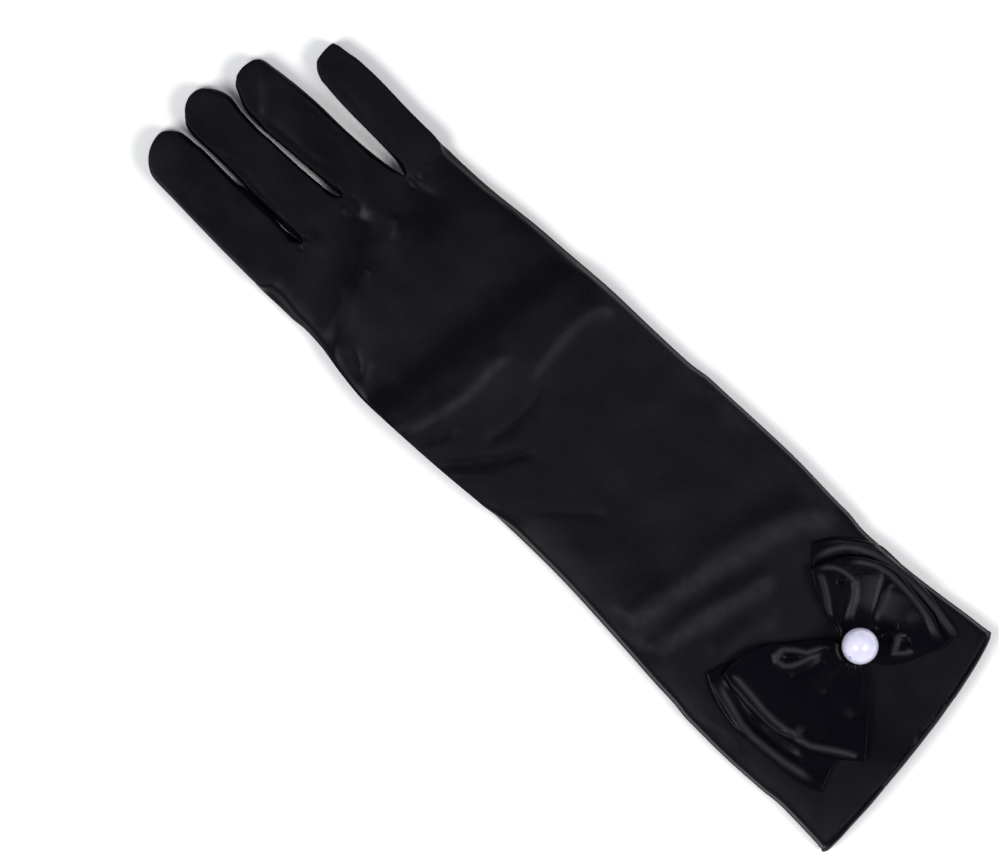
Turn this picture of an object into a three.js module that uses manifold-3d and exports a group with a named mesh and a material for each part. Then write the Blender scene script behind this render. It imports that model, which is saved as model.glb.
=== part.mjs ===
// A girl's long black satin glove for the right hand, lying palm down with its thumb folded under the
// palm. It is sewn from a back panel, a palm panel, three fourchettes between the fingers and a thumb.
// Its cuff ends in a narrow turned hem, and a double satin bow with a pearl bead is sewn on near the cuff.
// Millimetres, +X to the little finger's side, +Y to the finger tips, +Z up, resting on Z = 0.
import * as THREE from 'three';
import { mergeVertices } from 'three/addons/utils/BufferGeometryUtils.js';
import Module from 'manifold-3d';

const wasm = await Module();
wasm.setup();

// Cloth and seams
const clothWall = 1;
const seamGap = 0.3;

// The sleeve and the hand, lying flat
const bodyLength = 260; // from the cuff to the knuckles
const palmWidth = 76;
const cuffWidth = 91.5;
const cuffSlant = 8.8; // the thumb side of the cuff reaches this much lower than the other side
const sleeveHeight = 11.5;
const sideHeight = 3; // the side seam's height above what the glove lies on
const hemWidth = 3;
const hemThickness = 2;
const foldDepth = 1.6;

// The thumb, folded under the palm
const thumbLength = 64;
const thumbWidth = 22;
const thumbHeight = 7.8;
const thumbLean = 28; // degrees from the glove's length towards the little finger
const thumbSlope = 14; // how far the palm takes to come down beside the thumb
const mouthLength = 26;
const mouthRim = 2.6;

// The fingers
const indexLength = 58;
const indexWidth = 18.5;
const middleLength = 58;
const middleWidth = 18;
const ringLength = 54;
const ringWidth = 18.3;
const littleLength = 48.5;
const littleWidth = 14;
const fingerHeight = 8.6;
const seamAngle = 38; // how far a fourchette's seams stand above and below a finger's side, in degrees
const tipRound = 0.42; // the share of a finger's height at which its tip closes

// The bow and its pearl
const bowAcross = 10.6; // from the middle line of the glove towards the little finger
const bowAlong = 36; // from the cuff
const bowLeftLength = 47.4;
const bowRightLength = 29.4;
const bowWidth = 56;
const bowPinch = 9; // how wide the gathered middle is
const lowerLoft = 1.6;
const upperLoft = 3.2;
const pleatHeight = 2.4;
const loopSlack = 0.5; // the air between the two sheets of a loop at its gathered middle
const pearlDiameter = 12.2;
const pearlHole = 1.5;
const pearlHoleTilt = 33; // degrees, the hole coming out high on the thumb's side

// How many rows and columns each surface is drawn with
const SLEEVE_ROWS = 18;
const HAND_ROWS = 15;
const FINGER_COLUMNS = 4;
const FOURCHETTE_COLUMNS = 3;
const BOW_ROWS = 7;
const FOLD_STEPS = 3;

// Outline of the sleeve and hand from the cuff to the knuckles. at is a share of bodyLength, taper is 0
// at palmWidth and 1 at cuffWidth, lean is the section's sideways shift as a share of palmWidth, and height
// is a share of sleeveHeight.
const sections = [
  { at: 0.00, taper: 1.00, lean: -0.023, height: 1.00 },
  { at: 0.05, taper: 0.90, lean: -0.020, height: 1.00 },
  { at: 0.09, taper: 0.79, lean: -0.026, height: 0.99 },
  { at: 0.16, taper: 0.71, lean: -0.040, height: 0.97 },
  { at: 0.23, taper: 0.63, lean: -0.040, height: 0.95 },
  { at: 0.29, taper: 0.60, lean: -0.032, height: 0.94 },
  { at: 0.36, taper: 0.56, lean: -0.013, height: 0.92 },
  { at: 0.48, taper: 0.39, lean: 0.003, height: 0.88 },
  { at: 0.60, taper: 0.35, lean: 0.005, height: 0.84 },
  { at: 0.68, taper: 0.42, lean: 0.000, height: 0.81 },
  { at: 0.77, taper: 0.40, lean: -0.010, height: 0.80 },
  { at: 0.83, taper: 0.36, lean: -0.012, height: 0.80 },
  { at: 0.90, taper: 0.18, lean: -0.009, height: 0.80 },
  { at: 1.00, taper: 0.00, lean: 0.003, height: 0.78 },
];

// Creases on the back, each a straight run with a soft cross-section. across is a share of palmWidth from
// the middle line, along a share of bodyLength from the cuff, half (the crease's half width) a share of
// palmWidth, and rise a share of foldDepth, below 0 for a valley.
const creases = [
  { across: -0.48, along: 0.945, toAcross: -0.13, toAlong: 0.985, half: 0.075, rise: 0.8 },
  { across: -0.46, along: 0.900, toAcross: 0.08, toAlong: 0.955, half: 0.085, rise: -1.0 },
  { across: -0.42, along: 0.865, toAcross: 0.12, toAlong: 0.915, half: 0.090, rise: 0.7 },
  { across: 0.00, along: 0.880, toAcross: 0.44, toAlong: 0.882, half: 0.095, rise: -0.5 },
  { across: -0.46, along: 0.835, toAcross: -0.36, toAlong: 0.866, half: 0.045, rise: -0.7 },
  { across: -0.44, along: 0.800, toAcross: 0.46, toAlong: 0.755, half: 0.085, rise: -1.0 },
  { across: -0.44, along: 0.730, toAcross: -0.04, toAlong: 0.712, half: 0.055, rise: 0.8 },
  { across: 0.06, along: 0.680, toAcross: 0.42, toAlong: 0.676, half: 0.055, rise: 0.8 },
  { across: -0.50, along: 0.664, toAcross: -0.02, toAlong: 0.646, half: 0.045, rise: -0.5 },
  { across: -0.44, along: 0.560, toAcross: -0.20, toAlong: 0.484, half: 0.045, rise: -0.4 },
  { across: -0.22, along: 0.352, toAcross: 0.36, toAlong: 0.306, half: 0.085, rise: 0.9 },
  { across: -0.18, along: 0.318, toAcross: 0.16, toAlong: 0.298, half: 0.060, rise: -0.8 },
  { across: -0.48, along: 0.326, toAcross: 0.06, toAlong: 0.284, half: 0.065, rise: 0.7 },
];

// The fingers, thumb side first. root is the finger's share of palmWidth. start and crotch are how far its
// nearer and further roots lie past the knuckle line, as shares of bodyLength. In an outline, at is a share
// of the finger's length, and left and right are its edges as shares of its width from the middle of its
// root. tip is how far the middle of the tip bulges, and slope how far its far side is higher, as shares of
// the width.
const fingers = [
  {
    name: 'index', length: indexLength, width: indexWidth,
    root: 0.266, start: 0.000, crotch: 0.008, tip: 0.14, slope: 0.05,
    outline: [
      { at: 0.00, left: -0.545, right: 0.540 },
      { at: 0.08, left: -0.535, right: 0.490 },
      { at: 0.35, left: -0.500, right: 0.480 },
      { at: 0.68, left: -0.445, right: 0.505 },
      { at: 0.82, left: -0.420, right: 0.525 },
      { at: 0.91, left: -0.400, right: 0.520 },
      { at: 0.96, left: -0.330, right: 0.465 },
      { at: 1.00, left: -0.220, right: 0.390 },
    ],
  },
  {
    name: 'middle', length: middleLength, width: middleWidth,
    root: 0.264, start: 0.008, crotch: 0.012, tip: 0.15, slope: 0.02,
    outline: [
      { at: 0.00, left: -0.555, right: 0.555 },
      { at: 0.08, left: -0.550, right: 0.475 },
      { at: 0.32, left: -0.545, right: 0.412 },
      { at: 0.60, left: -0.510, right: 0.415 },
      { at: 0.80, left: -0.500, right: 0.440 },
      { at: 0.90, left: -0.490, right: 0.425 },
      { at: 0.96, left: -0.400, right: 0.380 },
      { at: 1.00, left: -0.300, right: 0.330 },
    ],
  },
  {
    name: 'ring', length: ringLength, width: ringWidth,
    root: 0.258, start: 0.012, crotch: -0.031, tip: 0.08, slope: -0.05,
    outline: [
      { at: 0.00, left: -0.535, right: 0.535 },
      { at: 0.10, left: -0.480, right: 0.450 },
      { at: 0.26, left: -0.510, right: 0.405 },
      { at: 0.50, left: -0.560, right: 0.415 },
      { at: 0.70, left: -0.615, right: 0.390 },
      { at: 0.86, left: -0.560, right: 0.345 },
      { at: 0.95, left: -0.460, right: 0.300 },
      { at: 1.00, left: -0.360, right: 0.265 },
    ],
  },
  {
    name: 'little', length: littleLength, width: littleWidth,
    root: 0.212, start: -0.031, crotch: -0.046, tip: 0.06, slope: 0.02,
    outline: [
      { at: 0.00, left: -0.570, right: 0.570 },
      { at: 0.12, left: -0.470, right: 0.565 },
      { at: 0.30, left: -0.400, right: 0.585 },
      { at: 0.60, left: -0.335, right: 0.655 },
      { at: 0.80, left: -0.250, right: 0.650 },
      { at: 0.91, left: -0.185, right: 0.625 },
      { at: 0.96, left: -0.150, right: 0.610 },
      { at: 1.00, left: -0.080, right: 0.560 },
    ],
  },
];

// The rows that a finger is drawn with: at as a share of its length, open how much of its height is left.
const fingerRows = [
  { at: 0.00, open: 1.00 },
  { at: 0.07, open: 1.00 },
  { at: 0.18, open: 1.00 },
  { at: 0.32, open: 1.00 },
  { at: 0.47, open: 1.00 },
  { at: 0.62, open: 1.00 },
  { at: 0.76, open: 0.99 },
  { at: 0.87, open: 0.94 },
  { at: 0.94, open: 0.82 },
  { at: 0.98, open: 0.58 },
  { at: 1.00, open: 0.00 },
];

// The thumb's outline from its heel to its tip: at as a share of thumbLength, half (its half width) as a
// share of half thumbWidth, and open how much of its height is left.
const thumbRows = [
  { at: 0.00, half: 0.45, open: 0.40 },
  { at: 0.03, half: 0.72, open: 0.80 },
  { at: 0.10, half: 0.95, open: 1.00 },
  { at: 0.25, half: 1.06, open: 1.00 },
  { at: 0.45, half: 1.03, open: 1.00 },
  { at: 0.62, half: 0.94, open: 1.00 },
  { at: 0.80, half: 0.88, open: 1.00 },
  { at: 0.92, half: 0.78, open: 0.92 },
  { at: 0.98, half: 0.58, open: 0.70 },
  { at: 1.00, half: 0.38, open: 0.35 },
];

// The two bow loops. Each lobe's corner and middle points are shares of its own length and of bowWidth, from
// the pearl. flare below 1 makes its sides spread sooner.
const bowLayers = {
  lower: {
    columns: 8,
    left: { topOut: 0.88, topUp: 0.54, midOut: 1.00, midUp: 0.05, endOut: 0.92, endUp: -0.43, flare: 0.80 },
    right: { topOut: 0.51, topUp: 0.60, midOut: 1.00, midUp: 0.14, endOut: 0.85, endUp: -0.39, flare: 1.00 },
  },
  upper: {
    columns: 12,
    left: { topOut: 0.77, topUp: 0.47, midOut: 0.83, midUp: 0.03, endOut: 0.56, endUp: -0.50, flare: 0.80 },
    right: { topOut: 0.27, topUp: 0.51, midOut: 0.89, midUp: 0.11, endOut: 0.66, endUp: -0.38, flare: 1.00 },
  },
};

// Pleats that run out from the gathered middle: their direction and half width in degrees, and their height
// as a share of pleatHeight.
const pleats = [
  { angle: 72, half: 17, rise: 1.0 },
  { angle: 36, half: 16, rise: 0.7 },
  { angle: -14, half: 20, rise: 0.9 },
  { angle: -52, half: 12, rise: 0.5 },
  { angle: 149, half: 13, rise: 1.0 },
  { angle: 176, half: 10, rise: 0.3 },
  { angle: 214, half: 16, rise: 0.6 },
];

const mix = (a, b, t) => a + (b - a) * t;
const clamp = (t) => Math.min(1, Math.max(0, t));
const ease = (t) => clamp(t) ** 2 * (3 - 2 * clamp(t));
const radians = THREE.MathUtils.degToRad;
const power = (base, exponent) => Math.sign(base) * Math.abs(base) ** exponent;

// A smooth value between the rows of a table with an at column.
function between(table, key, at) {
  const t = Math.min(table.at(-1).at, Math.max(table[0].at, at));
  let i = 0;
  while (i < table.length - 2 && t > table[i + 1].at) i++;
  const rows = [table[Math.max(0, i - 1)], table[i], table[i + 1], table[Math.min(table.length - 1, i + 2)]];
  const span = rows[2].at - rows[1].at;
  const slopeIn = (rows[2][key] - rows[0][key]) / (rows[2].at - rows[0].at) * span;
  const slopeOut = (rows[3][key] - rows[1][key]) / (rows[3].at - rows[1].at) * span;
  const u = (t - rows[1].at) / span;
  return rows[1][key] * (1 + 2 * u) * (1 - u) ** 2 + slopeIn * u * (1 - u) ** 2
    + rows[2][key] * u * u * (3 - 2 * u) - slopeOut * u * u * (1 - u);
}

// How far a point lies from the straight run between two others.
function distanceToRun(x, y, ax, ay, bx, by) {
  const dx = bx - ax;
  const dy = by - ay;
  const t = clamp(((x - ax) * dx + (y - ay) * dy) / (dx * dx + dy * dy));
  return Math.hypot(x - ax - t * dx, y - ay - t * dy);
}

// The hand's and sleeve's section at a distance y from the cuff.
function sectionAt(y) {
  const at = y / bodyLength;
  return {
    half: mix(palmWidth, cuffWidth, between(sections, 'taper', at)) / 2,
    middle: between(sections, 'lean', at) * palmWidth,
    height: between(sections, 'height', at) * sleeveHeight,
  };
}

// The thumb's middle line, from its heel to its tip.
const thumbHeel = new THREE.Vector2(-0.385 * palmWidth, 0.675 * bodyLength);
const thumbRun = new THREE.Vector2(Math.sin(radians(thumbLean)), Math.cos(radians(thumbLean)));
const thumbPoint = (at, side) => new THREE.Vector2(thumbRun.y, -thumbRun.x)
  .multiplyScalar(side)
  .addScaledVector(thumbRun, at * thumbLength)
  .add(thumbHeel);

// How high the palm is held up by the thumb under it, dying away over the given slope.
function thumbLift(x, y, slope) {
  const heel = thumbPoint(0.14, 0);
  const tip = thumbPoint(0.86, 0);
  const beside = distanceToRun(x, y, heel.x, heel.y, tip.x, tip.y) - thumbWidth / 2;
  return (thumbHeight + seamGap) * ease(1 - (beside - clothWall) / slope);
}

// The height that the creases add to the back at a point.
function creaseRise(x, y) {
  let rise = 0;
  for (const crease of creases) {
    const run = distanceToRun(
      x, y,
      crease.across * palmWidth, crease.along * bodyLength,
      crease.toAcross * palmWidth, crease.toAlong * bodyLength,
    );
    rise += crease.rise * foldDepth * Math.exp(-((run / (crease.half * palmWidth)) ** 2));
  }
  return rise;
}

// The crown of the back and the turn of the palm's edge, for a share s of the half width.
const crown = (s) => Math.sqrt(Math.max(0, 1 - Math.abs(s) ** 3));
const palmTurn = (s) => Math.max(0, 1 - 1.08 * Math.sqrt(Math.max(0, 1 - Math.abs(s) ** 10)));

function backHeight(x, y, s) {
  const { height } = sectionAt(y);
  const lift = thumbLift(x, y, 2 * thumbSlope);
  return lift + sideHeight + (height - sideHeight) * crown(s) + creaseRise(x, y) * crown(s);
}

function palmHeight(x, y, s) {
  return thumbLift(x, y, mix(thumbSlope, 2 * thumbSlope, s ** 8)) + sideHeight * palmTurn(s);
}

// The cuff's edge, lower on the thumb side.
const cuffEdge = (s) => cuffSlant * (((s + 1) / 2) ** 2.6 - 0.38);

// A skin of quads with shared points. Each quad belongs to one cut piece of cloth, and each piece becomes a
// solid with its outside on the skin.
class Skin {
  points = [];
  faces = [];

  point(x, y, z) {
    return this.points.push(new THREE.Vector3(x, y, z)) - 1;
  }

  face(piece, ...corners) {
    const different = corners.filter((c, i) => c !== corners[(i + 1) % corners.length]);
    if (different.length > 2) this.faces.push({ piece, corners: different });
  }

  // Fills a grid of point numbers, with its outside where rows cross columns by the right-hand rule.
  fill(piece, grid, turned = false) {
    for (let j = 0; j < grid.length - 1; j++) {
      for (let c = 0; c < grid[j].length - 1; c++) {
        const quad = [grid[j][c], grid[j][c + 1], grid[j + 1][c + 1], grid[j + 1][c]];
        this.face(piece, ...(turned ? quad.reverse() : quad));
      }
    }
  }

  faceNormal({ corners }) {
    const [a, b, c, d = corners[0]] = corners.map((i) => this.points[i]);
    const across = new THREE.Vector3().subVectors(c, a);
    const other = new THREE.Vector3().subVectors(d.isVector3 ? d : a, b);
    return across.cross(other);
  }

  normals() {
    const sum = this.points.map(() => new THREE.Vector3());
    for (const face of this.faces) {
      const normal = this.faceNormal(face);
      for (const corner of face.corners) sum[corner].add(normal);
    }
    return sum.map((normal) => normal.normalize());
  }

  // The closed solid of one piece of cloth: its outside on the skin, clothWall thick, and half a seam gap
  // clear of its neighbours all round.
  solid(piece, gap = seamGap) {
    const normals = this.normals();
    const faces = this.faces.filter((face) => face.piece === piece);
    const owner = new Map();
    for (const face of faces) {
      face.corners.forEach((a, i) => owner.set(`${a} ${face.corners[(i + 1) % face.corners.length]}`, face));
    }
    const edges = [...owner.keys()].map((key) => key.split(' ').map(Number));
    const rim = edges.filter(([a, b]) => !owner.has(`${b} ${a}`));
    const inset = new Map();
    for (const [a, b] of rim) {
      const along = new THREE.Vector3().subVectors(this.points[b], this.points[a]).normalize();
      const inward = this.faceNormal(owner.get(`${a} ${b}`)).cross(along).normalize();
      for (const end of [a, b]) inset.set(end, [...(inset.get(end) ?? []), inward]);
    }
    const used = [...new Set(faces.flatMap(({ corners }) => corners))];
    const number = new Map(used.map((index, i) => [index, i]));
    const position = [];
    for (const depth of [0, clothWall]) {
      for (const index of used) {
        const p = this.points[index].clone();
        const [m, n = m] = inset.get(index) ?? [];
        if (m) {
          const spread = Math.max(0.5, 1 + m.dot(n));
          p.addScaledVector(m, gap / 2 / spread).addScaledVector(n, gap / 2 / spread);
        }
        position.push(...p.addScaledVector(normals[index], -depth).toArray());
      }
    }
    const back = used.length;
    const triangles = [];
    for (const { corners } of faces) {
      const [a, b, c, d] = corners.map((index) => number.get(index));
      triangles.push(a, b, c, a + back, c + back, b + back);
      if (corners.length === 4) triangles.push(a, c, d, a + back, d + back, c + back);
    }
    for (const [from, to] of rim) {
      const a = number.get(from);
      const b = number.get(to);
      triangles.push(b, a, a + back, b, a + back, b + back);
    }
    return indexed(position, triangles);
  }
}

function indexed(position, triangles) {
  return new THREE.BufferGeometry()
    .setAttribute('position', new THREE.Float32BufferAttribute(position, 3))
    .setIndex(triangles);
}

// A closed solid through rings of points, each ring an array of Vector3, with flat ends.
function loft(rings) {
  const count = rings[0].length;
  const position = rings.flat().flatMap((p) => p.toArray());
  const triangles = [];
  for (let j = 0; j < rings.length - 1; j++) {
    for (let i = 0; i < count; i++) {
      const a = j * count + i;
      const b = j * count + (i + 1) % count;
      triangles.push(a, b + count, b, a, a + count, b + count);
    }
  }
  const last = (rings.length - 1) * count;
  for (let i = 1; i < count - 1; i++) triangles.push(0, i, i + 1, last, last + i + 1, last + i);
  return indexed(position, triangles);
}

function toManifold(geometry) {
  const merged = geometry.clone();
  for (const name of ['normal', 'uv']) merged.deleteAttribute(name);
  const closed = mergeVertices(merged, 1e-4);
  return new wasm.Manifold(new wasm.Mesh({
    numProp: 3,
    vertProperties: new Float32Array(closed.attributes.position.array),
    triVerts: new Uint32Array(closed.index.array),
  }));
}

function fromManifold(manifold) {
  const { vertProperties, triVerts } = manifold.getMesh();
  return indexed([...vertProperties], [...triVerts]);
}

// The back and palm of the sleeve and hand, as grids of point numbers that share the side seams.
const ROWS = SLEEVE_ROWS + HAND_ROWS;
const COLUMNS = fingers.length * FINGER_COLUMNS;
const WRIST = 0.6; // where the closer rows of the hand begin, as a share of bodyLength

// Angles round a finger, from its left seam over the back or under the palm to its right seam.
function seamAngles(finger, column) {
  const left = finger === 0 ? 180 : 180 - seamAngle;
  const right = finger === fingers.length - 1 ? 0 : seamAngle;
  return radians(mix(left, right, column / FINGER_COLUMNS));
}

// A finger's section: side is a share of its half width, and back and palm are shares of its height above
// and below the side seam.
const fingerSide = (angle, exponent) => power(Math.cos(angle), exponent);
const fingerBack = (angle) => Math.sin(angle);
const fingerPalm = (angle) => Math.min(1, 1.1 * Math.sin(angle) ** 0.67);
const fingerSeam = fingerHeight * tipRound;

// Where the columns of the hand reach the knuckle line.
function knuckle(column) {
  const finger = Math.min(fingers.length - 1, Math.floor(column / FINGER_COLUMNS));
  const inFinger = column - finger * FINGER_COLUMNS;
  const before = fingers.slice(0, finger).reduce((sum, { root }) => sum + root, 0);
  const { root, start, crotch } = fingers[finger];
  const { half, middle } = sectionAt(bodyLength);
  return {
    x: middle - half + 2 * half * (before + root * inFinger / FINGER_COLUMNS),
    y: bodyLength * (1 + mix(start, crotch, inFinger / FINGER_COLUMNS)),
    angle: seamAngles(finger, inFinger),
  };
}

function handPoint(row, column, side) {
  const hand = Math.max(0, row - SLEEVE_ROWS) / HAND_ROWS;
  const at = mix(WRIST * Math.min(1, row / SLEEVE_ROWS), 1, hand);
  const u = 2 * column / COLUMNS - 1;
  const s = Math.sign(u) * (1 - (1 - Math.abs(u)) ** 1.5);
  const root = knuckle(column);
  const cuffShift = (hemWidth + cuffEdge(s)) * ease(1 - 4 * at);
  const y = at * bodyLength + cuffShift + (root.y - bodyLength) * ease(hand);
  const { half, middle } = sectionAt(y);
  const x = mix(middle + half * s, root.x, ease(2 * hand - 1));
  const share = (x - middle) / half;
  const reach = ease(3 * hand - 2);
  if (side === 'back') {
    const knuckleHeight = fingerSeam + (fingerHeight - fingerSeam) * fingerBack(root.angle);
    return [x, y, mix(backHeight(x, y, share), knuckleHeight, reach)];
  }
  return [x, y, mix(palmHeight(x, y, share), fingerSeam * (1 - fingerPalm(root.angle)), reach)];
}

const skin = new Skin();
const back = [];
const palm = [];
for (let row = 0; row <= ROWS; row++) {
  back.push([]);
  palm.push([]);
  for (let column = 0; column <= COLUMNS; column++) {
    back[row].push(skin.point(...handPoint(row, column, 'back')));
    const seam = column === 0 || column === COLUMNS;
    palm[row].push(seam ? back[row][column] : skin.point(...handPoint(row, column, 'palm')));
  }
}
skin.fill('back_panel', back);
skin.fill('palm_panel', palm, true);

// A fourchette's upright line of points at a crotch, from the palm to the back.
function crotchLine(column) {
  const low = skin.points[palm[ROWS][column]];
  const high = skin.points[back[ROWS][column]];
  const line = [palm[ROWS][column]];
  for (let m = 1; m < FOURCHETTE_COLUMNS; m++) {
    line.push(skin.point(...new THREE.Vector3().lerpVectors(low, high, m / FOURCHETTE_COLUMNS).toArray()));
  }
  return [...line, back[ROWS][column]];
}

const crotches = fingers.slice(1).map((_, i) => crotchLine((i + 1) * FINGER_COLUMNS));

fingers.forEach((finger, i) => {
  const first = i * FINGER_COLUMNS;
  const rootBack = back[ROWS].slice(first, first + FINGER_COLUMNS + 1);
  const rootPalm = palm[ROWS].slice(first, first + FINGER_COLUMNS + 1);
  const rootX = (skin.points[rootBack[0]].x + skin.points[rootBack.at(-1)].x) / 2;
  const rootY = (column) => skin.points[rootBack[0]].y * (1 - column / FINGER_COLUMNS)
    + skin.points[rootBack.at(-1)].y * column / FINGER_COLUMNS;
  const highest = Math.max(rootY(0), rootY(FINGER_COLUMNS));

  // A point of the finger's section at a row, at an angle from its right side.
  const place = ({ at, open }, angle) => {
    const left = between(finger.outline, 'left', at) * finger.width;
    const right = between(finger.outline, 'right', at) * finger.width;
    const over = angle >= 0;
    const side = fingerSide(angle, over ? 0.77 : 0.5);
    const root = rootY(FINGER_COLUMNS * (1 + side) / 2);
    const bulge = (finger.tip * (1 - side ** 2) + finger.slope * side) * finger.width * at ** 6;
    const y = mix(root, highest, ease(3 * at)) + at * finger.length + bulge;
    const rise = over ? (fingerHeight - fingerSeam) * fingerBack(angle) : -fingerSeam * fingerPalm(-angle);
    return skin.point((left + right) / 2 + rootX + (right - left) / 2 * side, y, fingerSeam + open * rise);
  };

  const backGrid = [rootBack];
  const palmGrid = [rootPalm];
  const leftWall = [i > 0 ? crotches[i - 1] : null];
  const rightWall = [i < crotches.length ? crotches[i] : null];
  for (const row of fingerRows.slice(1)) {
    const over = [];
    const under = [];
    for (let column = 0; column <= FINGER_COLUMNS; column++) {
      const angle = seamAngles(i, column);
      over.push(place(row, angle));
      const joined = row.open === 0 || Math.sin(angle) < 1e-6;
      under.push(joined ? over[column] : place(row, -angle));
    }
    backGrid.push(over);
    palmGrid.push(under);
    const wall = (column, angleAt) => {
      const line = [under[column]];
      for (let m = 1; m < FOURCHETTE_COLUMNS; m++) {
        const turn = radians(mix(-seamAngle, seamAngle, m / FOURCHETTE_COLUMNS));
        line.push(row.open === 0 ? over[column] : place(row, angleAt(turn)));
      }
      return [...line, over[column]];
    };
    leftWall.push(wall(0, (turn) => Math.sign(turn) * Math.PI - turn));
    rightWall.push(wall(FINGER_COLUMNS, (turn) => turn));
  }
  skin.fill('back_panel', backGrid);
  skin.fill('palm_panel', palmGrid, true);
  if (i > 0) {
    skin.fill(`fourchette_${fingers[i - 1].name}_${finger.name}`, leftWall.slice(0, -1));
    skin.fill('back_panel', leftWall.slice(-2));
  }
  if (i < crotches.length) {
    skin.fill(`fourchette_${finger.name}_${fingers[i + 1].name}`, rightWall.slice(0, -1), true);
    skin.fill('back_panel', rightWall.slice(-2), true);
  }
});

// The cuff's turned hem, a ring two layers thick that follows the ends of the back and the palm.
function makeHem() {
  const normals = skin.normals();
  const ring = [...back[0], ...palm[0].slice(1, -1).reverse()];
  const outline = [[seamGap, 0], [0.8 * hemWidth, 0], [hemWidth, 0.5], [0.8 * hemWidth, 1], [seamGap, 1]];
  const rings = ring.map((index) => {
    const inward = normals[index].clone().setY(0).normalize().multiplyScalar(-hemThickness);
    const place = ([down, depth]) => skin.points[index].clone().addScaledVector(inward, depth).setY(
      skin.points[index].y - down,
    );
    return outline.map(place);
  });
  const position = rings.flat().flatMap((p) => p.toArray());
  const count = outline.length;
  const triangles = [];
  rings.forEach((_, j) => {
    const next = (j + 1) % rings.length;
    for (let i = 0; i < count; i++) {
      const [a, b] = [j * count + i, j * count + (i + 1) % count];
      const [c, d] = [next * count + (i + 1) % count, next * count + i];
      triangles.push(a, b, c, a, c, d);
    }
  });
  return indexed(position, triangles);
}

// The thumb's outer or inner form, smaller all round by inset.
function thumbForm(inset) {
  const SIDES = 14;
  return loft(thumbRows.map(({ at, half, open }) => {
    const reach = mix(inset, thumbLength - inset, at) / thumbLength;
    const middle = thumbHeight / 2;
    return Array.from({ length: SIDES }, (_, i) => {
      const angle = 2 * Math.PI * i / SIDES;
      const side = power(Math.cos(angle), 0.7) * (half * thumbWidth / 2 - inset);
      const rise = power(Math.sin(angle), 0.6) * open * (middle - inset);
      const { x, y } = thumbPoint(reach, side);
      return new THREE.Vector3(x, y, middle + rise);
    });
  }));
}

// The oval through the thumb's top and the palm, where the thumb is sewn in.
function mouthCutter() {
  const oval = new THREE.Shape();
  oval.absellipse(0, 0, thumbWidth / 2 - mouthRim, mouthLength / 2, 0, 2 * Math.PI);
  const depth = 2 * thumbHeight;
  const centre = thumbPoint(0.28, 0);
  return new THREE.ExtrudeGeometry(oval, { depth, bevelEnabled: false, curveSegments: 10 })
    .rotateZ(-radians(thumbLean))
    .translate(centre.x, centre.y, thumbHeight - 1.5 * clothWall);
}

// The bow. Heights above the back are worked out from a point's distance and direction from the pearl.
const bowCentre = new THREE.Vector2(bowAcross, bowAlong);

function bowBase(x, y) {
  const { half, middle } = sectionAt(y + bowCentre.y);
  const s = Math.min(0.8, Math.max(-0.8, (x + bowCentre.x - middle) / half));
  return backHeight(middle + half * s, y + bowCentre.y, s) + 2 * seamGap;
}

// A loop's thickness at a point, from the outside of its lower sheet to the outside of its upper sheet.
function loopThickness(x, y, loft, pleated) {
  const reach = Math.min(1, Math.hypot(x, y) / (x < 0 ? bowLeftLength : bowRightLength));
  const swell = Math.sin(Math.PI * reach ** 0.9) ** 2;
  const angle = THREE.MathUtils.euclideanModulo(THREE.MathUtils.radToDeg(Math.atan2(y, x)), 360);
  let pleat = 0;
  for (const { angle: centre, half, rise } of pleats) {
    const away = Math.abs(angle - THREE.MathUtils.euclideanModulo(centre, 360));
    pleat += rise * Math.exp(-((Math.min(away, 360 - away) / half) ** 2));
  }
  return 2 * clothWall + loopSlack + loft * swell + pleated * pleatHeight * pleat * swell;
}

const lowerThickness = (x, y) => loopThickness(x, y, lowerLoft, 0.25);
const upperThickness = (x, y) => loopThickness(x, y, upperLoft, 1);
const upperBase = (x, y) => bowBase(x, y) + lowerThickness(x, y) + seamGap;

// Where a lobe's grid lies in plan: reach 0 at the pearl and 1 at the outer fold, across -1 to 1.
function lobePlan(lobe, sign, reach, across) {
  const length = sign < 0 ? bowLeftLength : bowRightLength;
  const bent = (top, mid, end) => mid + (top - end) / 2 * across + ((top + end) / 2 - mid) * across ** 2;
  const out = sign * length * bent(lobe.topOut, lobe.midOut, lobe.endOut);
  const up = bowWidth * bent(lobe.topUp, lobe.midUp, lobe.endUp);
  return [out * reach, mix(bowPinch / 2 * across, up, reach ** lobe.flare)];
}

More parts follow.
